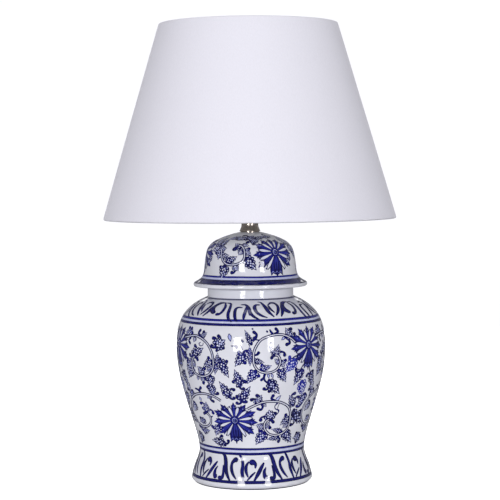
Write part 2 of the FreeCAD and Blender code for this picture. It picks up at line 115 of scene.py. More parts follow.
# ---- small geometry helpers
def between(t, a, b, c, d):
    """The value a share t of the way from b to c, on a smooth curve through all four."""
    square = 2 * a - 5 * b + 4 * c - d
    cube = 3 * b - a - 3 * c + d
    return 0.5 * (2 * b + (c - a) * t + square * t ** 2 + cube * t ** 3)


def smooth_curve(points, steps):
    """A Catmull-Rom curve through the points, with that many steps a span."""
    ends = [[2 * a - b for a, b in zip(points[0], points[1])], *points]
    ends.append([2 * a - b for a, b in zip(points[-1], points[-2])])
    curve = []
    for k in range(1, len(ends) - 2):
        for step in range(steps):
            curve.append(tuple(between(step / steps, *values) for values in zip(*ends[k - 1:k + 3])))
    curve.append(tuple(points[-1]))
    return curve


def arc(centre, radius, start, stop, steps):
    """Points on a circular arc in the r-z plane, angles in degrees from +r towards +z."""
    points = []
    for k in range(steps + 1):
        a = radians(start + (stop - start) * k / steps)
        points.append((centre[0] + radius * cos(a), centre[1] + radius * sin(a)))
    return points


def new_object(name, data):
    obj = bpy.data.objects.new(name, data)
    bpy.context.scene.collection.objects.link(obj)
    return obj


def mesh_object(name, vertices, faces, material):
    mesh = bpy.data.meshes.new(name)
    mesh.from_pydata(vertices, [], faces)
    mesh.update()
    mesh.shade_smooth()
    mesh.materials.append(material)
    return new_object(name, mesh)


class Skin:
    """The outer surface of a turned pot: its profile, its slight unevenness, and places on it."""

    def __init__(self, points, seed):
        curve = smooth_curve([(r * MM, z * MM) for r, z in points], 16)
        self.curve = curve
        self.seed = seed
        self.heights = [z for _, z in curve]
        self.lengths = [0.0]
        for (r0, z0), (r1, z1) in zip(curve, curve[1:]):
            self.lengths.append(self.lengths[-1] + hypot(r1 - r0, z1 - z0))

    def wobble(self, angle, z):
        """How far the hand-finished surface is off its true profile."""
        place = Vector((sin(angle) * 1.3, cos(angle) * 1.3, z * 14 + self.seed))
        return WOBBLE * noise.noise(place)

    def _find(self, value, column):
        """The span of a rising column that holds a value, and how far along it the value is."""
        k = min(max(bisect_right(column, value) - 1, 0), len(column) - 2)
        return k, (value - column[k]) / (column[k + 1] - column[k])

    def length_at(self, z):
        k, t = self._find(z, self.heights)
        return self.lengths[k] + t * (self.lengths[k + 1] - self.lengths[k])

    def at_length(self, length):
        """(radius, height, normal's r, normal's z) at a distance up the profile."""
        k, t = self._find(length, self.lengths)
        (r0, z0), (r1, z1) = self.curve[k], self.curve[k + 1]
        span = hypot(r1 - r0, z1 - z0)
        return r0 + (r1 - r0) * t, z0 + (z1 - z0) * t, (z1 - z0) / span, -(r1 - r0) / span

    def point(self, angle, length, lift):
        """A place in space, lifted off the uneven surface."""
        r, z, out_r, out_z = self.at_length(length)
        r += self.wobble(angle, z) + lift * out_r
        return turned(angle, r, z + lift * out_z)


def turned(angle, r, z):
    """A point at an angle round the lamp, zero at the front and positive to the right."""
    return Vector((r * sin(angle), -r * cos(angle), z))


def lathe(name, outline, material, segments, wobble):
    """A closed outline turned round the Z axis."""
    vertices, faces = [], []
    rings = len(outline)
    for s in range(segments):
        angle = TAU * s / segments
        for r, z in outline:
            extra = wobble(angle, z) if r > ROD_HOLE_R else 0.0
            vertices.append(turned(angle, r + extra, z))
    for s in range(segments):
        here, there = s * rings, (s + 1) % segments * rings
        for k in range(rings):
            n = (k + 1) % rings
            faces.append((here + k, there + k, there + n, here + n))
    return mesh_object(name, vertices, faces, material)


# ---- materials
GLAZE_WHITE = (0.68, 0.685, 0.755)


def new_material(name):
    material = bpy.data.materials.new(name)
    material.use_nodes = True
    tree = material.node_tree
    return material, tree, tree.nodes["Principled BSDF"]


def set_inputs(node, **inputs):
    for name, value in inputs.items():
        node.inputs[name.replace("_", " ")].default_value = value


def add(tree, kind, **inputs):
    """A shader node with some of its inputs set."""
    node = tree.nodes.new(kind)
    set_inputs(node, **inputs)
    return node


def object_noise(tree, scale, stretch=(1, 1, 1), detail=2.0):
    """Noise over the object's own metres, squeezed along each axis by stretch."""
    coordinates = add(tree, "ShaderNodeTexCoord")
    mapping = add(tree, "ShaderNodeMapping", Scale=stretch)
    cloud = add(tree, "ShaderNodeTexNoise", Scale=scale, Detail=detail)
    tree.links.new(coordinates.outputs["Object"], mapping.inputs["Vector"])
    tree.links.new(mapping.outputs["Vector"], cloud.inputs["Vector"])
    return cloud.outputs["Fac"]


def combine(tree, operation, first, second):
    """A sum or product of two sockets, or of a socket and a number."""
    node = add(tree, "ShaderNodeMath")
    node.operation = operation
    tree.links.new(first, node.inputs[0])
    if isinstance(second, float):
        node.inputs[1].default_value = second
    else:
        tree.links.new(second, node.inputs[1])
    return node.outputs["Value"]


def stretch_range(tree, factor, low, high):
    """A factor of 0 to 1, stretched from low to high."""
    spread = add(tree, "ShaderNodeMapRange", To_Min=low, To_Max=high)
    tree.links.new(factor, spread.inputs["Value"])
    return spread.outputs["Result"]


def colour_by(tree, shader, factor, stops):
    """Base colour that runs through (position, colour) stops as the factor grows."""
    ramp = add(tree, "ShaderNodeValToRGB")
    elements = ramp.color_ramp.elements
    while len(elements) < len(stops):
        elements.new(0.5)
    for element, (position, colour) in zip(elements, stops):
        element.position = position
        element.color = (*colour, 1)
    tree.links.new(factor, ramp.inputs["Fac"])
    tree.links.new(ramp.outputs["Color"], shader.inputs["Base Color"])


def shades(colour, *shares):
    """Stops for colour_by, from (position, share of a colour) pairs."""
    return [(position, tuple(share * c for c in colour)) for position, share in shares]


def tint(tree, shader, factor, colour, low, high=1.0):
    """Base colour that runs from a low to a high share of a colour over the factor's middle part."""
    colour_by(tree, shader, factor, shades(colour, (0.3, low), (0.7, high)))


def roughen(tree, shader, factor, low, high):
    tree.links.new(stretch_range(tree, factor, low, high), shader.inputs["Roughness"])


def raise_bumps(tree, shader, factor, height, strength=1.0):
    bump = add(tree, "ShaderNodeBump", Strength=strength, Distance=height)
    tree.links.new(factor, bump.inputs["Height"])
    tree.links.new(bump.outputs["Normal"], shader.inputs["Normal"])


def glaze_surface(tree, shader):
    """The glaze's own gloss, with the faint waves that a thick glaze sets in."""
    set_inputs(shader, IOR=1.52)
    roughen(tree, shader, object_noise(tree, 90), 0.035, 0.075)
    raise_bumps(tree, shader, object_noise(tree, 140, detail=1.0), 0.00012)


def glaze_material():
    material, tree, shader = new_material("white_glaze")
    tint(tree, shader, object_noise(tree, 28, detail=4.0), GLAZE_WHITE, 0.94)
    glaze_surface(tree, shader)
    return material


def brushed(name, colour, roughness, stretch=(3, 3, 400)):
    """Brushed metal, its fine lines running across the stretched axis."""
    material, tree, shader = new_material(name)
    lines = object_noise(tree, 6, stretch, 3.0)
    tint(tree, shader, lines, colour, 0.8)
    roughen(tree, shader, lines, 0.75 * roughness, 1.3 * roughness)
    raise_bumps(tree, shader, lines, 0.00002, 0.5)
    set_inputs(shader, Metallic=1.0)
    return material


def moulded(name, colour, roughness, grain=900, height=0.00004):
    """Moulded, fired or coated stuff: a fine grain and a faint mottle of its colour."""
    material, tree, shader = new_material(name)
    tint(tree, shader, object_noise(tree, 60, detail=4.0), colour, 0.86)
    grains = object_noise(tree, grain)
    roughen(tree, shader, grains, 0.85 * roughness, min(1.0, 1.15 * roughness))
    raise_bumps(tree, shader, grains, height)
    return material


def clear_glass(name, colour):
    material, tree, shader = new_material(name)
    tint(tree, shader, object_noise(tree, 40), colour, 0.97)
    roughen(tree, shader, object_noise(tree, 120), 0.0, 0.03)
    set_inputs(shader, Transmission_Weight=1.0, IOR=1.46)
    return material


def woven_cloth(name, colour, edge_z):
    """Plain weave with uneven upright slubs, with painted shade along the fold at its lower edge: the cloth
    darkens there as if in the shadow of its rolled hem.
    """
    material, tree, shader = new_material(name)
    upright = object_noise(tree, 10, (130, 130, 2.5))
    across = object_noise(tree, 10, (6, 6, 220), 1.0)
    place = add(tree, "ShaderNodeTexCoord")
    height = add(tree, "ShaderNodeSeparateXYZ")
    # Painted shade: the colour drops to 0.6 of the cloth's in the lowest 0.6 to 2.4 mm above the lower edge,
    # standing in for the shadow of the rolled hem.
    above_painted_hem_shade = add(tree, "ShaderNodeMapRange", From_Min=edge_z + 0.6 * MM, From_Max=edge_z + 2.4 * MM)
    tree.links.new(place.outputs["Object"], height.inputs["Vector"])
    tree.links.new(height.outputs["Z"], above_painted_hem_shade.inputs["Value"])
    shade = combine(tree, "MULTIPLY", above_painted_hem_shade.outputs["Result"], upright)
    # The 0.6 stop is the painted hem shade; the other stops are the slubs' own tone.
    colour_by(tree, shader, shade, shades(colour, (0, 0.6), (0.15, 0.955), (0.3, 0.955), (0.7, 1)))
    raise_bumps(tree, shader, combine(tree, "MULTIPLY", upright, across), 0.00018, 0.8)
    set_inputs(shader, Roughness=0.85, Sheen_Weight=0.15, Sheen_Roughness=0.5)
    return material


def pressed_felt(name, colour):
    material, tree, shader = new_material(name)
    fibres = object_noise(tree, 700, detail=6.0)
    tint(tree, shader, fibres, colour, 0.55, 1.5)
    raise_bumps(tree, shader, fibres, 0.0004)
    set_inputs(shader, Roughness=0.95, Sheen_Weight=0.5)
    return material


FINISHES = {  # the record's material slots, apart from the pieces made here
    "rubber": (moulded, (0.03, 0.03, 0.03), 0.7),
    "cork": (moulded, (0.45, 0.44, 0.40), 0.85, 400, 0.0003),
    "nickel": (brushed, (0.50, 0.44, 0.39), 0.22),
    "zinc": (brushed, (0.62, 0.62, 0.60), 0.32),
    "brass": (brushed, (0.72, 0.50, 0.22), 0.26),
    "porcelain": (moulded, (0.82, 0.80, 0.75), 0.5),
    "phenolic": (moulded, (0.022, 0.022, 0.026), 0.28),
    "ring": (brushed, (0.50, 0.44, 0.39), 0.26),
    "bulb_glass": (clear_glass, (1.0, 1.0, 0.985)),
    "stem_glass": (clear_glass, (0.97, 1.0, 0.98)),
    "vitrite": (moulded, (0.012, 0.012, 0.018), 0.12),
    "filament": (moulded, (0.85, 0.55, 0.10), 0.6),
    "cap_metal": (brushed, (0.76, 0.75, 0.73), 0.25),
    "shade_liner": (moulded, (0.86, 0.86, 0.85), 0.45),
    "shade_frame": (moulded, (0.80, 0.80, 0.80), 0.35),
}


def finish_nodes():
    """Give every node that stays its slot's material."""
    finishes = {slot: make(slot, *values) for slot, (make, *values) in FINISHES.items()}
    for part in frame["record"]["subparts"]:
        if part["material_slot"] in finishes:
            for slot in nodes[part["node"]].material_slots:
                slot.material = finishes[part["material_slot"]]


# ---- jar and lid
jar_skin = Skin(JAR_CURVE, 1.0)
lid_skin = Skin(LID_CURVE, 7.0)


def jar_outline():
    """The jar's whole cross-section, closed, starting at the foot's underside."""
    inside = [(r - JAR_WALL, z) for r, z in jar_skin.curve[HOLLOW]]
    floor_top = FLOOR_Z + FLOOR_T
    mouth_r = NECK_R - JAR_WALL
    outline = [(RECESS_R + RECESS_EDGE, PAD_T), (FOOT_CONTACT_R, PAD_T)]
    outline += arc((FOOT_R - FOOT_EDGE_R, PAD_T + FOOT_EDGE_R), FOOT_EDGE_R, -80, -12, 8)
    outline += jar_skin.curve
    outline += [(NECK_R, z * MM) for z in STRAIGHT_NECK]
    outline += arc((NECK_R - LIP_OUTER_R, MOUTH_Z - LIP_OUTER_R), LIP_OUTER_R, 0, 90, 8)
    outline += arc((mouth_r + LIP_INNER_R, MOUTH_Z - LIP_INNER_R), LIP_INNER_R, 90, 180, 6)
    outline += [(mouth_r, HOLLOW_TOP_Z), *reversed(inside)]
    outline += [(inside[0][0] - 4 * MM, floor_top), (ROD_HOLE_R, floor_top), (ROD_HOLE_R, FLOOR_Z)]
    outline += [(RECESS_R - RECESS_ROOF_EDGE, FLOOR_Z), (RECESS_R, FLOOR_Z - RECESS_ROOF_EDGE)]
    outline += [(RECESS_R, PAD_T + RECESS_EDGE)]
    return outline


def make_jar(material):
    jar = lathe("glazed_jar", jar_outline(), material, POT_SEGMENTS, jar_skin.wobble)
    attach(jar, "lamp_base")
    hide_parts("jar_body")


def make_lid(material):
    brim = arc((BRIM_R - BRIM_EDGE_R, LID_SEAT_Z + 3.2 * MM), BRIM_EDGE_R, -75, -8, 8)
    outline = [(SPIGOT_R - LID_WALL, SPIGOT_BOTTOM_Z), (SPIGOT_R - MM, SPIGOT_BOTTOM_Z)]
    outline += [(SPIGOT_R, SPIGOT_BOTTOM_Z + MM), (SPIGOT_R, LID_SEAT_Z), (NECK_R + 1.5 * MM, LID_SEAT_Z)]
    outline += brim + lid_skin.curve
    outline += [(ROD_HOLE_R, LID_TOP_Z), (ROD_HOLE_R, LID_TOP_Z - LID_WALL - MM)]
    inside = [(14.0, 317.0), (34.0, 311.4), (48.0, 302.8), (52.7, 290.4), (54.0, 273.0), (43.8, 254.8)]
    outline += smooth_curve([(r * MM, z * MM) for r, z in inside], 8)
    lid = lathe("glazed_lid", outline, material, POT_SEGMENTS, lid_skin.wobble)
    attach(lid, "lamp_base")
    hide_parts("jar_lid")


# ---- shade, felt pad and neck
SHADE_LOW, SHADE_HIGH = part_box("shade_fabric")
SHADE_TOP_R = 115.8 * MM
CLOTH_T = 0.5 * MM
SHADE_WIRE_R = 1.4 * MM
CLOTH_R = SHADE_WIRE_R + CLOTH_T  # outside of the cloth where it wraps a wire
LINER_FACE = 0.55 * MM  # the liner's inner face, out from the wires' centres
HEM_FLAP = 14 * MM
HEM_TUCK = 155  # degrees that the cloth wraps round a wire
SEAM_HALF = 5 * MM
SHADE_SEGMENTS = 900
PAD_SEGMENTS = 360
SLUB = 0.035 * MM
BILLOW = 0.12 * MM


class Slope:
    """The shade's slope: places are a distance up it from an end's wire and a distance out from the wires."""

    def __init__(self):
        self.low = Vector((SHADE_HIGH.x - CLOTH_R, SHADE_LOW.z + CLOTH_R))
        self.high = Vector((SHADE_TOP_R - CLOTH_R, SHADE_HIGH.z - CLOTH_R))
        self.length = (self.high - self.low).length
        self.along = (self.high - self.low).normalized()
        self.out = Vector((self.along.y, -self.along.x))

    def at(self, top, up, out):
        end, sign = (self.high, -1) if top else (self.low, 1)
        return tuple(end + self.along * (sign * up) + self.out * out)

    def hem(self, top):
        """Cloth round one wire: its outside to the turned-in edge, then its inside back again."""
        turns = [radians(a) for a in range(0, HEM_TUCK + 1, 12)]
        flap = LINER_FACE - CLOTH_T
        outside = [self.at(top, -CLOTH_R * sin(a), CLOTH_R * cos(a)) for a in turns]
        outside += [self.at(top, up * HEM_FLAP, flap) for up in (0.3, 0.6, 0.98)]
        inside = [self.at(top, up * HEM_FLAP, LINER_FACE) for up in (1.0, 0.6, 0.3)]
        wire = SHADE_WIRE_R
        inside += [self.at(top, -wire * sin(a), wire * cos(a)) for a in reversed(turns)]
        return outside, inside


def cloth_unevenness(angle, z):
    """Slubs and slack of the stretched cloth, and its overlapped seam down the back."""
    t = (z - SHADE_LOW.z) / (SHADE_HIGH.z - SHADE_LOW.z)
    slack = max(0.0, sin(pi * min(max(t, 0), 1)))
    ring = Vector((sin(angle), cos(angle), 0))
    slub = SLUB * noise.noise(ring * 70 + Vector((0, 0, z * 9)))
    billow = BILLOW * (1 + noise.noise(ring * 2.6 + Vector((3, 0, z * 7)))) * slack
    from_seam = abs(angle - pi) * (SHADE_HIGH.x + (SHADE_TOP_R - SHADE_HIGH.x) * t)
    overlap = CLOTH_T * 0.9 * min(max((SEAM_HALF - from_seam) / MM, 0), 1)
    return slub + billow + overlap


def make_shade_cover(material):
    slope = Slope()
    steps = 28
    outline = [slope.at(False, slope.length * k / steps, CLOTH_R) for k in range(1, steps)]
    outside, inside = slope.hem(True)
    outline += outside + inside
    outline += [slope.at(True, slope.length * k / steps, SHADE_WIRE_R) for k in range(1, steps)]
    outside, inside = slope.hem(False)
    outline += inside[::-1] + outside[::-1]
    cover = lathe("shade_cover", outline, material, SHADE_SEGMENTS, cloth_unevenness)
    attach(cover, "shade")
    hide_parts("shade_fabric")


def make_felt_pad(material):
    """A disc of felt glued under the foot, its cut edge a little ragged."""
    radius = FOOT_CONTACT_R - 0.5 * MM
    middle = 0.02 * MM
    outline = [(middle, 0.0), (radius * 0.3, 0.0), (radius * 0.7, 0.0), (radius - 0.5 * MM, 0.0)]
    outline += arc((radius - 0.5 * MM, 0.5 * MM), 0.5 * MM, -60, 30, 4)
    outline += [(radius - 0.3 * MM, PAD_T), (radius * 0.7, PAD_T), (radius * 0.3, PAD_T), (middle, PAD_T)]

    def ragged(angle, z):
        return 0.2 * MM * noise.noise(Vector((sin(angle) * 30, cos(angle) * 30, z * 900)))

    pad = lathe("felt_disc", outline, material, PAD_SEGMENTS, ragged)
    pad.data.set_sharp_from_angle(angle=SHARP_EDGE)
    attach(pad, "lamp_base")
    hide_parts("felt_pad")


# ---- painting
LIFT = 0.05 * MM  # the lowest layer of colour stands this far proud of the glaze
LAYER = 0.03 * MM  # and each layer over it this much more
SUNK = 0.04 * MM  # every stroke's underside is this far inside the glaze
RING_STEPS = 480
THINNEST = 0.12  # millimetres, the least width of a stroke


def heading(line, k):
    """The unit direction of a flat line at its k-th point."""
    x0, y0 = line[max(k - 1, 0)][:2]
    x1, y1 = line[min(k + 1, len(line) - 1)][:2]
    span = hypot(x1 - x0, y1 - y0) or 1.0
    return (x1 - x0) / span, (y1 - y0) / span


class Spot:
    """A place on a painted pot, with its own flat millimetre axes: x to the right, y up, turned clockwise."""

    def __init__(self, paint, degrees, height, turn=0.0):
        self.paint = paint
        self.skin = paint.skin
        self.degrees = degrees
        self.angle = radians(degrees + paint.shift)
        self.length = self.skin.length_at(height * MM)
        self.radius = self.skin.at_length(self.length)[0]
        self.cos = cos(turn)
        self.sin = sin(turn)

    def point(self, x, y, lift):
        """The place in space of a flat point, lifted off the surface."""
        right = (x * self.cos + y * self.sin) * MM
        up = (y * self.cos - x * self.sin) * MM
        return self.skin.point(self.angle + right / self.radius, self.length + up, lift)

    def flat(self, degrees, height):
        """This spot's x and y of another place on the pot."""
        right = radians(degrees - self.degrees) * self.radius / MM
        up = (self.skin.length_at(height * MM) - self.length) / MM
        return right * self.cos - up * self.sin, right * self.sin + up * self.cos

    def stroke(self, points, wash=0.3, layer=0, steps=5, shade=0.35):
        """A brush stroke through (x, y, width) points, darker along its edges, with round ends."""
        line = smooth_curve(points, steps)
        rows = []
        for k, (x, y, width) in enumerate(line):
            rows.append((x, y, *heading(line, k), max(width, THINNEST) / 2))
        for end, sign in ((rows[0], -1), (rows[-1], 1)):
            x, y, dx, dy, half = end
            for turn in (30, 60, 84):
                a = radians(turn)
                reach = sign * half * sin(a)
                cap = (x + dx * reach, y + dy * reach, dx, dy, half * cos(a))
                rows.insert(0 if sign < 0 else len(rows), cap)
        columns = (-1, -0.6, 0, 0.6, 1) if max(row[4] for row in rows) > 1.0 else (-1, 0, 1)
        top, under = LIFT + layer * LAYER, -SUNK
        tone = wash + self.paint.chance.uniform(-0.08, 0.08)
        grid = []
        for x, y, dx, dy, half in rows:
            row = []
            for c in columns:
                px, py = x + dy * half * c, y - dx * half * c
                value = tone + shade * (0.5 - abs(c))
                row.append((self.point(px, py, top), self.point(px, py, under), value))
            grid.append(row)
        self.paint.patch(grid)

    def dot(self, x, y, width, wash=0.3, layer=0):
        self.stroke([(x, y - width * 0.05, width), (x, y + width * 0.05, width)], wash, layer, 1)


class Painting:
    """Brush strokes on a pot's skin, gathered as thin closed patches of one mesh."""

    def __init__(self, skin, seed, shift=0.0):
        self.skin = skin
        self.shift = shift  # degrees that the layout is moved round the pot
        self.chance = random.Random(seed)
        self.vertices, self.faces, self.wash = [], [], []

    def patch(self, rows, closed=False):
        """Rows of (top, underside, wash) become one closed thin body."""
        first, width = len(self.vertices), len(rows[0])
        for row in rows:
            for top, under, wash in row:
                self.vertices += [top, under]
                self.wash += [wash, wash]

        def at(k, c, side):
            return first + 2 * (k % len(rows) * width + c) + side

        spans = len(rows) if closed else len(rows) - 1
        for k in range(spans):
            for c in range(width - 1):
                self.faces.append((at(k, c, 0), at(k, c + 1, 0), at(k + 1, c + 1, 0), at(k + 1, c, 0)))
                self.faces.append((at(k, c, 1), at(k + 1, c, 1), at(k + 1, c + 1, 1), at(k, c + 1, 1)))
            self.faces.append((at(k, 0, 0), at(k + 1, 0, 0), at(k + 1, 0, 1), at(k, 0, 1)))
            last = width - 1
            self.faces.append((at(k, last, 0), at(k, last, 1), at(k + 1, last, 1), at(k + 1, last, 0)))
        if not closed:
            for k, order in ((0, 1), (len(rows) - 1, -1)):
                for c in range(width - 1):
                    quad = (at(k, c, 0), at(k, c, 1), at(k, c + 1, 1), at(k, c + 1, 0))
                    self.faces.append(quad[::order])

    def brush(self, places, wash, layer, steps=5):
        """A stroke through (degrees, height, width) places on the pot."""
        spot = Spot(self, *places[len(places) // 2][:2])
        points = [(*spot.flat(degrees, height), width) for degrees, height, width in places]
        spot.stroke(points, wash, layer, steps)

    def ring(self, low, high, wash):
        """A brushed line all the way round, between two heights."""
        bottom, top = self.skin.length_at(low * MM), self.skin.length_at(high * MM)
        middle, half = (bottom + top) / 2, (top - bottom) / 2
        rows = []
        for k in range(RING_STEPS):
            angle = TAU * k / RING_STEPS
            sample = Vector((sin(angle) * 2, cos(angle) * 2, low))
            swell = half * (1 + 0.1 * noise.noise(sample * 1.7))
            drift = 0.3 * MM * noise.noise(sample)
            row = []
            for c in (-1, -0.8, -0.4, 0, 0.4, 0.8, 1):
                place = middle + drift + c * swell
                upper, under = [self.skin.point(angle, place, lift) for lift in (LIFT, -SUNK)]
                row.append((upper, under, wash + 0.3 * (0.5 - abs(c))))
            rows.append(row[::-1])
        self.patch(rows, closed=True)

    def finish(self, name, material):
        obj = mesh_object(name, self.vertices, self.faces, material)
        attribute = obj.data.attributes.new("wash", "FLOAT", "POINT")
        attribute.data.foreach_set("value", self.wash)
        obj.data.set_sharp_from_angle(angle=SHARP_EDGE)
        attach(obj, "lamp_base")


# Cobalt from near black through washes to bare white: half the wash, and the colour
COBALT = [
    (0.0, (0.0012, 0.0018, 0.052)), (0.15, (0.004, 0.0055, 0.135)), (0.3, (0.012, 0.017, 0.265)),
    (0.5, (0.055, 0.075, 0.43)), (0.75, (0.31, 0.35, 0.7)), (1.0, GLAZE_WHITE),
]


def cobalt_material():
    """Cobalt under a clear glaze, as thick as the wash attribute and a little cloudy."""
    material, tree, shader = new_material("cobalt_painting")
    glaze_surface(tree, shader)
    wash = add(tree, "ShaderNodeAttribute")
    wash.attribute_name = "wash"
    clouds = stretch_range(tree, object_noise(tree, 260, detail=3.0), -0.22, 0.22)
    total = combine(tree, "ADD", wash.outputs["Fac"], clouds)
    colour_by(tree, shader, combine(tree, "MULTIPLY", total, 0.5), COBALT)
    return material


def aimed_spot(paint, base, tip):
    """Flat axes with their origin at the base and y towards the tip, and the distance between the two."""
    x, y = Spot(paint, *base).flat(*tip)
    return Spot(paint, *base, atan2(x, y)), hypot(x, y)


def blade(spot, shape, length, width, wash, steps=5, shade=0.35):
    """A stroke up a spot's y axis, through (share of the length, share of the width) points."""
    spot.stroke([(0, t * length, w * width) for t, w in shape], wash, 0, steps, shade)


def stalked_ball(spot, place, length, wash):
    """A dark ball on a thick curled stalk that leaves a leaf near its base."""
    across, along = spot.flat(*place)
    bend = 0.32 if across * along > 0 else -0.32
    stalk = [(0.1 * across, 0.1 * along + 0.12 * length, 4.0),
             (0.5 * across - bend * along, 0.5 * along + bend * across, 3.2),
             (0.9 * across - 0.8 * bend * along, 0.9 * along + 0.8 * bend * across, 2.8),
             (across, along, 5.0)]
    spot.stroke(stalk, wash, 0, 4)
    spot.dot(0.45 * across, 0.45 * along, 1.3, 1.3, 2)


# Shares of a leaf's length, each with a share of its width; the cells' are with their number in a row
LEAF_SHAPE = [(-0.06, 0.6), (0.1, 0.9), (0.32, 0.98), (0.52, 0.82), (0.72, 0.56), (0.9, 0.28), (1.05, 0.06)]
LEAF_LOBES = [(0.0, 0.42), (0.24, 0.54), (0.48, 0.44), (0.7, 0.28)]
LEAF_CELLS = [(0.1, 1), (0.22, 2), (0.38, 1), (0.52, 2), (0.66, 1)]
BUD_SHAPE = [(0.0, 0.5), (0.25, 0.95), (0.55, 0.8), (0.8, 0.42), (1.0, 0.06)]
PETAL_SHAPE = [(0.12, 0.4), (0.35, 0.6), (0.62, 0.92), (0.8, 0.84), (0.92, 0.5), (1.03, 0.08)]


def leaf(paint, base, tip, width, wash, *balls):
    """A lobed, pointed leaf with a lattice of pale cells, and balls on stalks round it."""
    spot, length = aimed_spot(paint, base, tip)
    for place in balls:
        stalked_ball(spot, place, length, wash - 0.15)
    dark = wash - 0.2
    blade(spot, LEAF_SHAPE, length, width, dark)
    for side in (-1, 1):
        for t, w in LEAF_LOBES:
            t += side * 0.04 + paint.chance.uniform(-0.02, 0.02)
            lobe = (0.36 - 0.12 * t) * width
            spot.dot(side * (w * width - 0.3), t * length, lobe, dark)
            spot.dot(side * (w * width - 0.5), t * length, 0.36 * lobe, 1.5 + wash, 2)
    for t, count in LEAF_CELLS:
        for k in range(count):
            x = ((k - (count - 1) / 2) * 0.34 + paint.chance.uniform(-0.03, 0.03)) * width
            spot.dot(x, t * length, 0.175 * width, 1.55 + 0.4 * paint.chance.random(), 2)
    streak = [(0, 0.8 * length, 0.12 * width), (0, 0.87 * length, 0.16 * width), (0, 0.95 * length, 0.3)]
    spot.stroke(streak, 1.7, 2)


def bud(paint, base, tip, width):
    """A bare teardrop with a dark outline."""
    spot, length = aimed_spot(paint, base, tip)
    blade(spot, BUD_SHAPE, length, width, 0.2)
    bare = [(0, t * length, max(w * width - 1.9, 0.2)) for t, w in BUD_SHAPE[:-1]]
    spot.stroke(bare, 1.6, 1)


# Narrow petals of every flower: compass direction, length and width in millimetres
PETALS = [
    (0, 24, 5.6), (33, 25.5, 7), (65, 28, 8), (96, 28.5, 8), (127, 30, 8.8),
    (-129, 29.5, 8.6), (-97, 29, 8), (-66, 28.5, 8), (-37, 26, 7),
]
HANGING_PETAL = (30, 18)  # length and width of the broad petal that points down
WIDEST_GAP = 60  # degrees; a white petal fills each gap that is smaller
BESIDE_HANGING = (148, -149)  # compass directions of the white petals beside the hanging one


def flank(spot, size, side, line, wash, layer, start=()):
    """A stroke beside a petal's middle, in shares of its size across and along, and millimetres thick."""
    width, length = size
    points = [(side * x * width, y * length, thick) for x, y, thick in line]
    spot.stroke([*start, *points], wash, layer, 4)


def petal(paint, place, compass, length, width):
    """A dark pointed petal with a barb at each side, a darker rim, paler veins and a pale dot."""
    spot = Spot(paint, *place, radians(compass))
    size = width, length
    wash = paint.chance.uniform(0.22, 0.5)
    blade(spot, PETAL_SHAPE, length, width, wash, 4, 0.3)
    for side in (-1, 1):
        barb = [(0.22, 0.56, 0.36 * width), (0.38, 0.74, 0.28 * width), (0.48, 0.88, 0.14 * width)]
        flank(spot, size, side, barb, wash - 0.15, 1)
        rim = [(0.27, 0.42, 1.0), (0.36, 0.68, 1.1), (0.1, 0.98, 0.7)]
        flank(spot, size, side, rim, 0.05, 2, [(side, 4, 0.9)])
        flank(spot, size, side, [(0.08, 0.22, 0.4), (0.15, 0.46, 0.8), (0.12, 0.66, 0.4)], 0.7, 3)
    spot.dot(0.1 * width, 0.76 * length, 1.2, 1.3, 3)


def hanging_petal(paint, place, length, width):
    """The broad petal that points down and ends in three teeth."""
    spot = Spot(paint, *place, pi)
    size = width, length
    body = [(0, 3.4, 3.0)]
    body += [(0, t * length, w * width) for t, w in ((0.35, 0.62), (0.58, 0.94), (0.7, 0.96), (0.76, 0.72))]
    spot.stroke(body, 0.25, 0, 4, 0.4)
    for side in (-1, 0, 1):
        reach = 0.98 if side else 1.06
        tooth = [(0.26, 0.56, 0.42 * width), (0.33, 0.78, 0.36 * width), (0.44, reach, 0.06 * width)]
        flank(spot, size, side, tooth, 0.12, 1)
        x, y = side * 0.3 * width, 0.9 * length
        spot.stroke([(x - 2.2, y, 0.4), (x, 0.82 * length, 0.8), (x + 2.2, y, 0.4)], 1.2, 3, 4)
    for side in (-1, 1):
        flank(spot, size, side, [(0.29, 0.45, 0.8), (0.46, 0.74, 0.9)], 0.05, 2, [(side, 4, 0.8)])
    for side in (-0.3, -0.1, 0.1, 0.3):
        flank(spot, size, side, [(0.5, 0.2, 0.4), (1, 0.5, 0.8), (0.9, 0.72, 0.4)], 0.7, 3)


def white_petal(paint, place, compass, length):
    """A bare petal between two dark ones, outlined thinly, with a small hook at its end."""
    spot = Spot(paint, *place, radians(compass))
    bare = [(0, 6.5, 0.6), (0, 0.5 * length, 2.0), (0, 0.75 * length, 3.3), (0, 0.95 * length, 1.8)]
    spot.stroke(bare, 1.95, 4, 4, -0.15)
    for side in (-1, 1):
        edge = [(side * 0.5, 6, 0.6), (side * 1.3, 0.45 * length, 0.8), (side * 2.1, 0.78 * length, 1.0),
                (side * 0.9, length, 1.1)]
        spot.stroke(edge, 0.1, 5, 4)
    spot.dot(1.1, length, 2.2, 0.1, 6)


def flower(paint, place):
    eye = Spot(paint, *place)
    eye.dot(0, 0, 13, 0.3)
    hanging_petal(paint, place, *HANGING_PETAL)
    for row in PETALS:
        petal(paint, place, *row)
    for (compass, length, _), (following, next_length, _) in zip(PETALS, PETALS[1:] + PETALS[:1]):
        gap = (following - compass) % 360
        if gap < WIDEST_GAP:
            white_petal(paint, place, compass + gap / 2, 0.8 * min(length, next_length))
    for compass in BESIDE_HANGING:
        white_petal(paint, place, compass, 25)
    eye.dot(0, 0, 9.0, 0.3, 7)
    eye.dot(0, 0, 6.8, 1.6, 8)
    eye.dot(0.2, -0.2, 5.4, 0.1, 9)
    curl = [(1.3, 0.9, 0.4), (0.1, 1.3, 0.6), (-1.1, 0.2, 0.7), (-0.2, -1.2, 0.6), (0.9, -0.9, 0.4)]
    eye.stroke(curl, 1.2, 10)


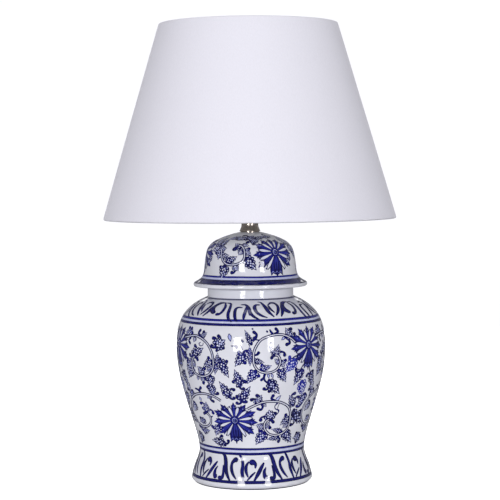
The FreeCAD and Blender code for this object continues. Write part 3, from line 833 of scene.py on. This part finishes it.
def scroll(paint, places, ball):
    """A double line with bare glaze between, curling into a dark ball."""
    spot = Spot(paint, *places[len(places) // 2])
    line = smooth_curve([spot.flat(*place) for place in places], 6)
    spot.stroke([(x, y, 1.7) for x, y in line], 1.95, 3, 1, -0.1)
    for offset in (-1.2, 1.2):
        edge = []
        for k, (x, y) in enumerate(line):
            dx, dy = heading(line, k)
            edge.append((x + dy * offset, y - dx * offset, 1.3))
        spot.stroke(edge, 0.0, 4, 1, 0.1)
    x0, y0 = line[-1]
    x, y = spot.flat(*ball)
    middle = (0.6 * x0 + 0.4 * x, 0.75 * y0 + 0.25 * y, 3.6)
    spot.stroke([(x0, y0, 3.2), middle, (x, y, 4.4)], 0.1, 5, 4)


# The layout is in places of (degrees from the front, height in millimetres)
FLOWERS = [(49, 182.5), (-15.5, 89)]
SCROLLS = [  # the line's places, then its ball
    ([(35.3, 187.2), (32.5, 191.5), (29, 195), (25, 197.4), (20, 198), (14, 196.5), (8, 192.6), (4.5, 186),
      (2.3, 178), (1.8, 170), (2.2, 162), (4.2, 156), (7.5, 152.2), (12, 150.6), (16.5, 151.8),
      (20.2, 155.6), (22.1, 162), (21.8, 168), (20, 172.2), (17.4, 173.2)], (15.4, 169.4)),
    ([(-60, 191.9), (-55, 193.6), (-50, 195.1), (-46, 195.2), (-42, 193.4), (-38, 190.5), (-34.5, 186.2),
      (-32, 180.6), (-30.2, 174), (-29.5, 167), (-29.5, 160), (-30.6, 153.8), (-33.1, 148.9),
      (-36.8, 145.6), (-41.3, 144.4), (-45.6, 145.6), (-49.2, 149), (-51, 155), (-50.8, 161.7),
      (-49, 167.4), (-46.4, 169)], (-44.2, 165.4)),
    ([(-3.4, 104.2), (0, 107), (4.2, 109.8), (8.5, 112.4), (13, 113.4), (18, 113.4), (23.4, 112.4),
      (28, 110), (32.8, 105.8), (35.8, 100.4), (37.7, 92.8), (38.4, 85), (37.8, 78.6), (35, 73),
      (29.8, 69.4), (24, 68.2), (18.2, 69.9), (14.6, 73.6), (12.2, 78.6), (12, 84), (13.9, 88.4),
      (17.2, 90)], (20.4, 86)),
    ([(-26.6, 114.4), (-29, 116.6), (-32.2, 119), (-36.7, 120.8), (-41.3, 121.8), (-46, 121.6),
      (-51.3, 120.1), (-56.3, 117.6), (-62, 112.4), (-66.5, 105), (-68, 95), (-65.5, 85), (-60, 78.6),
      (-53, 76.8), (-46.5, 78.8), (-42.2, 83.2), (-40.8, 89), (-42.2, 94), (-45, 96.4)], (-48, 95)),
]
LEAVES = [  # base, tip, width, wash and balls
    ((-40, 194.8), (-35.8, 200.2), 6, 0.2, (-38.8, 200.4)),
    ((-52, 198), (-60.5, 198.5), 9.5, 0.35, (-53, 203.6), (-56, 204)),
    ((-47.5, 192.4), (-48.6, 187.2), 6, 0.35),
    ((-48.5, 171.5), (-38.6, 180.2), 11, 0.3, (-52.8, 170.4), (-46.8, 182.6)),
    ((-50.5, 163), (-55, 156.4), 8.5, 0.35, (-56, 164.6)),
    ((-49.6, 162.5), (-46.8, 155.4), 6.5, 0.35),
    ((-51, 153), (-57.5, 140.5), 10.5, 0.3, (-54.6, 154)),
    ((-40, 147.5), (-44.6, 156.4), 9.5, 0.25, (-37.8, 154.6)),
    ((-42, 142.8), (-39, 137.8), 6, 0.3, (-40.6, 136)),
    ((-45.5, 143.4), (-46.4, 138.6), 4.5, 0.35),
    ((-31.2, 164), (-38.6, 157), 9.5, 0.25, (-33.5, 168.6)),
    ((-30.8, 157.6), (-36, 151.2), 7, 0.3),
    ((-26.6, 162), (-25.5, 175.2), 6.8, 0.3),
    ((-27, 160), (-28.6, 148.4), 6.5, 0.4),
    ((-26.5, 184.5), (-19.8, 191.8), 13, 0.2, (-29.4, 193.8), (-25.2, 196.4), (-30.6, 184), (-21, 182.2)),
    ((-23, 163.5), (-17.6, 145.4), 11, 0.3, (-18.5, 165), (-23.8, 168)),
    ((0, 188.4), (-4.5, 204), 6.8, 0.25),
    ((-0.6, 172), (-1.1, 184.8), 5.6, 0.5),
    ((-0.6, 173), (-0.8, 160.2), 6.2, 0.4),
    ((-5.6, 173), (-11.8, 159.8), 11, 0.35, (-9, 177.2), (-2.8, 178.4), (-4.6, 164)),
    ((-8.8, 137), (-12.5, 154.6), 10, 0.3, (-4.4, 139.8), (-13.8, 139.6), (-10.6, 134), (-6.2, 130.6)),
    ((2.6, 151.4), (-2.8, 138), 10.5, 0.42, (5.5, 147), (0.2, 153.4)),
    ((3, 166), (9.6, 164), 7, 0.2),
    ((8, 155.4), (15.2, 159.6), 7.5, 0.42, (8.3, 160.4)),
    ((18.4, 173.6), (13.4, 184.8), 7, 0.3),
    ((19, 173.6), (20.9, 185.4), 7.5, 0.3, (25.7, 172.4)),
    ((21, 163), (17.6, 167.8), 6, 0.35),
    ((23.4, 164), (25.8, 156.6), 7, 0.3, (26.4, 165.2)),
    ((34, 163.4), (27.2, 150.2), 12, 0.85, (30, 169), (36, 162.4)),
    ((22.4, 151.4), (27.7, 138.2), 10, 0.35, (20.6, 153.6), (25, 153.8)),
    ((14.6, 137.4), (22.9, 123.4), 12, 0.2, (10.2, 130.2), (13.8, 140.8), (18.6, 138.8), (14.4, 127)),
    ((31, 194.6), (28, 205.4), 9.5, 0.15, (35.2, 197.6), (32.6, 204)),
    ((41.5, 149.4), (35.8, 133.4), 11.5, 0.3, (36.4, 152.8), (43.7, 150.2)),
    ((53, 143), (59.6, 130.4), 10.5, 0.2, (48.6, 143), (56, 147.6)),
    ((44, 134), (47, 118.6), 13, 0.8),
    ((50, 117.4), (44.6, 103.6), 11, 0.3, (43.4, 104.2), (53, 116)),
    ((38.6, 107.4), (33, 119.4), 9.5, 0.25, (38, 121.6), (43.2, 116)),
    ((42.6, 93), (58, 81.4), 13.5, 0.15, (50.4, 97.4), (40.8, 99.4), (41, 80)),
    ((58.5, 62), (47.5, 61.4), 10.5, 0.15, (52, 67.2), (53.4, 55.4)),
    ((35.2, 70), (45.2, 56.6), 11.5, 0.2, (32.3, 66), (38.9, 72.2)),
    ((26.8, 65.6), (16, 63.2), 7, 0.2, (28.7, 59.8)),
    ((30, 72.6), (19.6, 76.6), 6.8, 0.3),
    ((36, 90), (28.2, 81.4), 9, 0.25, (32.5, 94)),
    ((36.4, 82), (31, 77.4), 6.5, 0.35),
    ((17.2, 91), (15.5, 102), 12, 0.2, (8.3, 89.4), (21.4, 97.4)),
    ((13.2, 79.4), (17, 87), 6, 0.3, (17.6, 78.8)),
    ((10.6, 80), (4.2, 82.6), 8, 0.35, (7.8, 75.8)),
    ((11.6, 70.6), (4.5, 57.6), 11.5, 0.35, (8.4, 74), (14.4, 66)),
    ((4.6, 112), (8.3, 122.2), 8.5, 0.2, (0.2, 116.4), (4.7, 121.8)),
    ((10.4, 110.6), (12.8, 107), 4.5, 0.3),
    ((-8, 117.4), (-1, 133.2), 10, 0.32, (-11.7, 120.6), (-4.5, 113.8), (-11.9, 111.8)),
    ((-18.4, 121.6), (-25.3, 138.6), 10.5, 0.3, (-14.1, 129.4), (-14.4, 118.2), (-22.8, 124)),
    ((-33, 144), (-34, 131.6), 10, 0.22, (-38.2, 141.8), (-30.4, 143)),
    ((-33.4, 131.4), (-32.6, 119.6), 10, 0.15, (-28.3, 123.6), (-37, 131)),
    ((-36, 119.2), (-39.6, 116), 5, 0.4),
    ((-44, 98.8), (-42.2, 110.6), 9, 0.42, (-49, 108.4), (-36.6, 97.2), (-47.6, 102)),
    ((-50.4, 85.4), (-58.6, 82.6), 8, 0.35, (-56, 87.6)),
    ((-33.4, 79), (-38.6, 67.4), 10, 0.35, (-40.8, 78.6)),
    ((-55.4, 71), (-46, 72.6), 7.5, 0.35, (-54.8, 68.4), (-59, 75)),
    ((-31, 58.8), (-44.8, 60.4), 10, 0.15, (-31.6, 67), (-24.6, 60.8), (-28.8, 56)),
    ((-60.6, 103), (-63.5, 96), 8, 0.35),
    ((62, 104), (56, 96.4), 9, 0.3, (60, 108)),
    ((62.5, 122), (57.6, 112), 10, 0.3, (58.4, 122)),
    ((-63, 131), (-59.4, 124), 9, 0.2, (-65, 124)),
    ((66.5, 160), (62, 147), 10, 0.3, (63, 161.4)),
]
BUDS = [  # base, tip and width
    ((-16.6, 198.6), (-15.2, 190), 5.6),
    ((13, 149), (13.6, 143.2), 3.8),
    ((15.6, 148.8), (17.1, 143.6), 3.8),
    ((26, 194.2), (23.4, 191), 4.4),
    ((21, 114.2), (25, 121), 5.2),
    ((-48, 112.4), (-48.8, 117), 4.6),
]
STEMS = [  # strokes of (degrees, height, width)
    [(-41.6, 195.8, 3.4), (-44, 198.6, 3), (-42.6, 202.4, 4.2)],
    [(-52.6, 192, 3.2), (-54.8, 188.6, 2.8), (-53, 185.2, 3.8)],
    [(-41.2, 187.6, 0.9), (-42.7, 185.6, 1.2), (-41.4, 183.2, 1.2), (-39, 184, 1), (-38.4, 187, 0.9)],
    [(-26.4, 180.6, 1.8), (-26.3, 178.4, 3.8)],
    [(-6.6, 191.2, 3.4), (-6.2, 190.6, 3.2)],
    [(-14.8, 184.8, 1), (-12.4, 184.6, 2.4), (-10.8, 184, 4), (-10.6, 182.4, 3.4)],
    [(-7.8, 186.4, 0.8), (-6.9, 183.4, 1.6), (-6, 180, 0.9)],
    [(0.6, 190, 2.8), (3.2, 194.4, 4.2), (4.4, 198.6, 3), (2.4, 201.8, 4.4)],
    [(2.4, 195, 3.2), (4, 192.6, 1.8), (6.2, 192, 1.5)],
    [(1.2, 205.8, 2), (1.5, 205.6, 2)],
    [(2.6, 173.4, 2.4), (4.4, 174, 3), (5.6, 176.2, 4.2)],
    [(14, 187.8, 0.9), (15.2, 188, 1.6), (16.4, 187.8, 0.9)],
    [(38.6, 171.4, 1.6), (36, 170, 1.8), (33.6, 168.6, 1.8), (31.6, 165.6, 1.4)],
    [(10.6, 149.8, 3.6), (9.8, 145.8, 3), (10.2, 141.6, 2.6), (12.8, 137.4, 2.2)],
    [(9.4, 145, 2), (7.8, 141.8, 3.6)],
    [(27.2, 194.4, 4.2), (29.6, 190.8, 3.4), (30.4, 187, 3.2), (27.6, 185.2, 4.6)],
    [(18.8, 199.2, 3.6), (21.2, 201.6, 3.2), (19.8, 205, 4.4)],
    [(16.6, 199.4, 3.6), (15.4, 202, 2.8), (14.9, 203.8, 2.2)],
    [(12.4, 202.4, 2.6), (12.6, 202, 2.6)],
    [(41, 152.6, 1.8), (43, 157, 1.8), (46, 160.6, 1.6)],
    [(52.6, 146, 1.8), (51.2, 151, 1.8), (50.6, 156.6, 1.6)],
    [(-45.6, 122.6, 3.2), (-46.8, 126, 2.8), (-44.8, 129.2, 4.4)],
    [(-46.6, 123.6, 3), (-49, 126.2, 3.2), (-51.6, 127, 2.6)],
    [(-35.2, 118.6, 3.6), (-36.2, 115, 3), (-33.8, 112.6, 4.2)],
    [(8.6, 110.4, 3.2), (9.6, 106.4, 2.8), (8, 103, 3.2), (5.6, 104.4, 4.4)],
    [(22.4, 110.8, 2.6), (20.4, 107, 1.2), (21.2, 103.4, 1.4), (24.4, 101, 2.2), (23.8, 97, 1.2),
     (21.8, 94.6, 1)],
    [(24.2, 110, 1), (23.4, 106.4, 0.9), (23.2, 103.6, 0.9)],
    [(19.6, 114.4, 3.6), (16.8, 117, 3.2), (18, 121, 4.4)],
    [(57, 77, 2), (58.6, 75.4, 3.8)],
    [(-38.2, 92.6, 1.6), (-40.4, 90.6, 2.2)],
]
SHOULDER_BRUSH = [  # one of five repeats, as strokes of (degrees, height, width)
    [(-27.6, 235.4, 1.6), (-32.4, 235.4, 2.8), (-37.6, 232, 3.8), (-38.2, 227.4, 5.6), (-35.6, 224.6, 5)],
    [(-28, 234.6, 2.2), (-26, 231.4, 3.4), (-26.4, 226.8, 3.4), (-28.4, 223.2, 3.4), (-30.8, 222.6, 4.2)],
    [(-26, 235.6, 1.5), (-21.6, 234.6, 2.8), (-20.4, 229.6, 3.8), (-20.2, 223, 3.6), (-18.6, 217.4, 3),
     (-16, 214.4, 1.4)],
    [(-8.6, 230.8, 1.8), (-12.4, 230.8, 2.8), (-14.4, 228.4, 3.6), (-14, 222.6, 3.6), (-12.8, 217.4, 3),
     (-11.6, 215, 1.6)],
    [(-10, 233.8, 1.5), (-5.4, 233.8, 2.8), (-2.2, 230.6, 4.2), (-0.4, 225, 3.8), (2.6, 220.4, 3),
     (7.4, 216.6, 1.3)],
    [(-3.6, 232, 2.4), (-4.8, 226.4, 3.8), (-5.8, 220.8, 3.4), (-6, 217, 1.8)],
    [(-2.8, 230, 1.6), (-1.6, 225.8, 2.4), (-1, 222.2, 1.3)],
    [(9, 233.6, 2), (5.4, 233.4, 3.2), (3.8, 230.4, 4.4), (5.6, 225.2, 3.6), (9.6, 221.2, 2.8),
     (13.8, 219, 1.3)],
    [(8.4, 236.8, 1.4), (11.6, 236, 2.4), (14.6, 231, 4.4), (16.6, 225.2, 3.8), (20, 219.8, 1.5)],
    [(18.8, 233.6, 1.8), (22.6, 235.4, 2.8), (27, 234.6, 3.4), (28, 231.2, 3.4), (25.8, 226, 3.2),
     (22.8, 221.4, 1.5)],
    [(18.2, 232.4, 2.2), (19.2, 228.4, 3), (21.6, 224.8, 1.5)],
    [(40, 236.2, 1.4), (36, 235, 2.6), (32.8, 231, 4.2), (30, 225, 3.6), (27, 219.8, 1.4)],
]
FOOT_BRUSH = [  # one of seven repeats
    [(-33.6, 44.2, 1.6), (-30.4, 41.4, 4), (-28.6, 35, 4.8), (-27.4, 28, 4.6), (-25.4, 20.4, 3.8),
     (-22, 12.6, 2)],
    [(-17.2, 37.2, 5.6), (-18.8, 36.2, 4.6), (-21, 32.8, 3.2), (-21, 26.6, 3.6), (-18.8, 19.8, 3),
     (-15.6, 14.2, 1.4)],
    [(-13.6, 44.2, 2), (-11.2, 39.6, 3), (-9.4, 32, 3.4), (-9.8, 23, 3.8), (-8, 12.4, 2)],
    [(0.2, 34.4, 6.4), (1.6, 34.2, 5.6), (3.6, 31.6, 3.6), (3.4, 28, 1.8)],
    [(-3.6, 34.6, 1.8), (-5.8, 29.8, 3.4), (-5.8, 23.4, 3.4), (-4, 17.2, 1.6)],
    [(2.8, 22.2, 1.6), (-0.8, 18, 2.4), (-4.2, 13.2, 1.6)],
    [(12.2, 32.8, 2.2), (9.8, 28.4, 3.8), (6.4, 21.4, 4.2), (2.2, 12.6, 2.2)],
    [(14, 27.6, 1.4), (12.2, 23.2, 3.4), (12.2, 18.2, 4.4), (13.4, 15.8, 5.4)],
    [(20.8, 29.4, 1.4), (21.7, 24.6, 2.6), (22.2, 18.6, 3.4), (21.2, 14.6, 4), (18.6, 14.6, 4.4)],
]
BRUSH_WEIGHT = 1.2  # the shoulder's and foot's strokes are this much broader than listed
JAR_RINGS = [  # low, high and wash
    (8.2, 12.2, 0.1), (42.9, 46.3, 0.15), (49.5, 52.4, 0.25), (208.7, 211.9, 0.12), (214.3, 217.3, 0.4),
    (238.6, 240.5, 0.1), (46.3, 49.5, 1.75), (211.9, 214.3, 1.75),
]


def make_panel_painting(number, shift, material):
    """One of the jar's three equal panels."""
    paint = Painting(jar_skin, 11 + number, shift)
    for draw, rows in ((scroll, SCROLLS), (leaf, LEAVES), (bud, BUDS)):
        for row in rows:
            draw(paint, *row)
    for places in STEMS:
        paint.brush(places, 0.12, 2)
    for place in FLOWERS:
        flower(paint, place)
    paint.finish(f"jar_painting_panel_{number}", material)


def make_band_painting(material):
    """Rings round the jar, and the brushed scrolls of its shoulder and foot."""
    paint = Painting(jar_skin, 21)
    for row in JAR_RINGS:
        paint.ring(*row)
    for strokes, repeats in ((SHOULDER_BRUSH, 5), (FOOT_BRUSH, 7)):
        for k in range(repeats):
            paint.shift = 360 * k / repeats
            for places in strokes:
                paint.brush([(d, h, w * BRUSH_WEIGHT) for d, h, w in places], 0.12, 1, 6)
    paint.finish("jar_painting_bands", material)


LID_RINGS = [(257.9, 264.4, 0.1), (266.9, 269.2, 0.4), (264.4, 266.9, 1.7)]
LID_FLOWER = (34.5, 299)
LID_SCROLL = (
    [(-41, 301), (-39.6, 296), (-38, 291), (-34.6, 286.6), (-29, 283.9), (-22, 283.5), (-15.6, 284.9),
     (-10.4, 287.6), (-7.6, 292), (-7.2, 298), (-8.6, 303.8), (-12.6, 307.2), (-17, 307)], (-20, 303),
)
LID_LEAVES = [
    ((-38, 294), (-28.4, 295.6), 7, 0.2),
    ((-30, 287), (-17.4, 293.8), 9, 0.15),
    ((-3.4, 290), (6.9, 277.6), 12, 0.15, (-1.4, 292.4), (-7, 286)),
    ((-33.5, 280), (-36.5, 266), 11.5, 0.2, (-39.6, 280.2), (-29, 278.4)),
    ((-20, 282), (-15, 276.4), 8, 0.3, (-22.8, 273.8)),
    ((-14, 305), (-22.4, 310), 8, 0.15, (-22, 303)),
    ((-9.6, 308.6), (-1, 307), 6, 0.15),
    ((-11, 301), (-15, 296), 7, 0.25),
    ((-6.4, 301), (1, 296), 7.5, 0.2, (-1.6, 303.6)),
    ((-44, 303), (-33.6, 304.2), 8.5, 0.1),
    ((-42, 301), (-45, 290.2), 10, 0.2, (-50, 298.4)),
    ((-47, 305), (-59, 300.4), 10, 0.3),
    ((-46, 308), (-40, 315), 9.5, 0.2),
    ((-52, 309), (-60, 313), 9, 0.3),
    ((2, 312.6), (15, 314), 9.5, 0.12, (5.2, 309.4), (-4, 311.4)),
    ((-24, 315), (-12, 317), 8, 0.2),
    ((-30, 316.6), (-42, 315), 8, 0.25),
    ((-62, 293), (-66, 284), 9, 0.3, (-60, 296)),
    ((-6, 315.4), (-34, 318.2), 9, 0.1, (-2, 317.6)),
    ((-4, 316.2), (10, 319), 8, 0.1, (-16, 319.2)),
    ((8, 313.4), (-3, 316.4), 7.5, 0.05),
    ((12, 315.8), (34, 318.4), 8.5, 0.15),
    ((32, 317), (56, 318.4), 8, 0.25, (40, 320.2)),
    ((62, 312), (70, 317), 8.5, 0.3),
]


def make_lid_painting(material):
    """The lid's two bands, and three repeats of its scrolls and flowers."""
    paint = Painting(lid_skin, 31)
    for row in LID_RINGS:
        paint.ring(*row)
    for third in THIRDS:
        paint.shift = third
        scroll(paint, *LID_SCROLL)
        for row in LID_LEAVES:
            leaf(paint, *row)
        flower(paint, LID_FLOWER)
    paint.finish("lid_painting", material)


# ---- studio
def make_camera():
    data = bpy.data.cameras.new("camera")
    data.lens = CAMERA_LENS
    data.sensor_width = SENSOR
    data.clip_end = 50
    camera = new_object("camera", data)
    camera.location = (CAMERA_SIDE, -CAMERA_DISTANCE, CAMERA_HEIGHT)
    camera.rotation_mode = "XYZ"
    camera.rotation_euler = (radians(90 - CAMERA_PITCH), 0, 0)
    camera.rotation_euler.rotate_axis("Z", radians(-CAMERA_ROLL))
    bpy.context.scene.camera = camera


AIM = Vector((0, 0, 0.22))
LIGHTS = [  # name, azimuth, elevation, distance, width, height, power, and whether it shows in the glaze
    ("softbox_left", -20, 4.5, 2.0, 0.42, 0.62, 11.5, True),
    ("softbox_right", 30, 4.5, 2.2, 0.36, 0.68, 11, True),
    ("softbox_top", 0, 75, 2.4, 1.6, 1.6, 14, True),
    ("softbox_back", 180, 30, 2.6, 1.4, 1.4, 12, True),
    ("back_fill", 180, 12, 2.6, 2.2, 1.6, 42, False),
    ("wall_left", -58, 2, 2.4, 1.8, 1.6, 18.6, False),
    ("wall_right", 58, 2, 2.4, 1.8, 1.6, 15.4, False),
    ("front_fill", 0, 36, 2.6, 2.0, 0.8, 5, False),
    ("table_bounce", 0, -55, 2.0, 2.0, 2.0, 9, False),
]
WORLD_COLOUR = (0.97, 0.97, 1.0, 1)
WORLD_ON_LAMP = 0.24  # strength of the dim glow from every side
WORLD_TO_CAMERA = 1.05  # bare white


def make_light(name, azimuth, elevation, distance, width, height, power, glossy):
    """An area light aimed at the jar; azimuth from the front, positive to the right."""
    data = bpy.data.lights.new(name, "AREA")
    data.shape = "RECTANGLE"
    data.size, data.size_y = width, height
    data.energy = power
    light = new_object(name, data)
    a, e = radians(azimuth), radians(elevation)
    away = Vector((sin(a) * cos(e), -cos(a) * cos(e), sin(e)))
    light.location = AIM + away * distance
    light.rotation_euler = away.to_track_quat("Z", "Y").to_euler()
    light.visible_camera = False
    light.visible_glossy = glossy


def make_floor():
    """A plain pale floor just under the felt, which neither lights the lamp nor shows in its glaze."""
    material, tree, shader = new_material("floor")
    set_inputs(shader, Base_Color=(FLOOR_GREY, FLOOR_GREY, FLOOR_GREY, 1), Roughness=0.9)
    set_inputs(shader, Emission_Color=(1, 1, 1, 1), Emission_Strength=FLOOR_GLOW)
    corners = [(x * FLOOR_HALF, y * FLOOR_HALF, -FLOOR_DROP) for x, y in ((-1, -1), (1, -1), (1, 1), (-1, 1))]
    floor = mesh_object("floor", corners, [(0, 1, 2, 3)], material)
    floor.visible_glossy = False
    floor.visible_diffuse = False
    floor.visible_shadow = False


def make_studio():
    """White all round to the camera, with the lamp lit mostly by area lights."""
    bpy.context.scene.view_settings.view_transform = "Standard"
    world = bpy.data.worlds.new("studio")
    world.use_nodes = True
    tree = world.node_tree
    background = tree.nodes["Background"]
    background.inputs["Color"].default_value = WORLD_COLOUR
    path = add(tree, "ShaderNodeLightPath")
    glow = stretch_range(tree, path.outputs["Is Camera Ray"], WORLD_ON_LAMP, WORLD_TO_CAMERA)
    tree.links.new(glow, background.inputs["Strength"])
    bpy.context.scene.world = world
    for row in LIGHTS:
        make_light(*row)


# ---- everything
make_camera()
make_studio()
make_floor()
finish_nodes()
white_glaze = glaze_material()
make_jar(white_glaze)
make_lid(white_glaze)
cobalt = cobalt_material()
make_band_painting(cobalt)
for number, shift in enumerate(THIRDS, 1):
    make_panel_painting(number, shift, cobalt)
make_lid_painting(cobalt)
make_shade_cover(woven_cloth("shade_cloth", (0.715, 0.705, 0.78), SHADE_LOW.z))
make_felt_pad(pressed_felt("felt", (0.035, 0.04, 0.06)))
